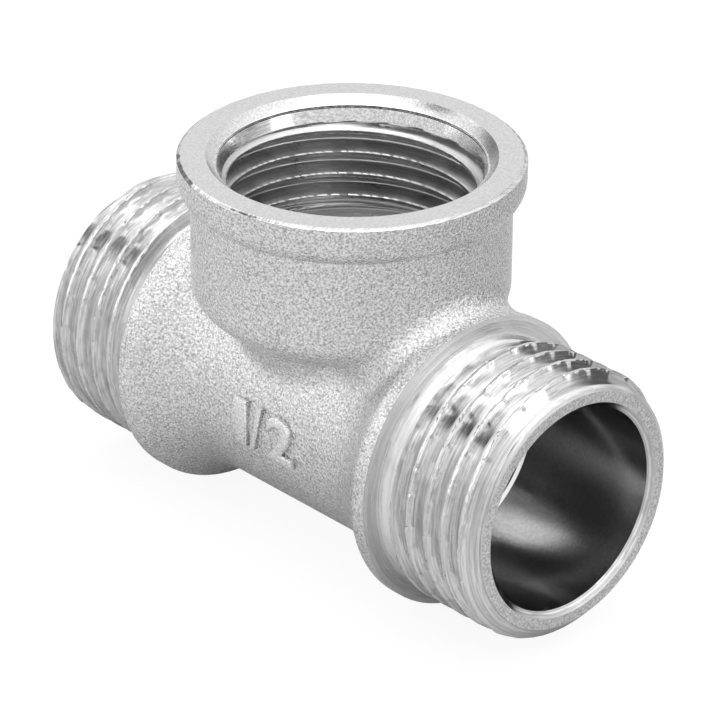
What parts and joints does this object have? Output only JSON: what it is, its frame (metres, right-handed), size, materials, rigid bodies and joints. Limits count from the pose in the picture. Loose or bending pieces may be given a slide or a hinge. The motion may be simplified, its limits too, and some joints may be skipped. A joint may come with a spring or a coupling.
{
  "type": "threaded pipe tee",
  "caption": "Forged metal pipe tee: a straight run with a male thread at each end and a female threaded branch square to it.",
  "frame": {"origin": "where the run's axis and the branch's axis cross", "axes": "+X along the run towards one male end, +Z along the branch out of its mouth, +Y square to both"},
  "size_m": [0.048, 0.026, 0.0317],
  "materials": {
    "nickel_plated_brass": "nickel plated: shot-blasted grain on the forged skin, bright turned threads, faces and bores"
  },
  "bodies": {
    "root": {"tee_body": "nickel_plated_brass"}
  },
  "joints": []
}
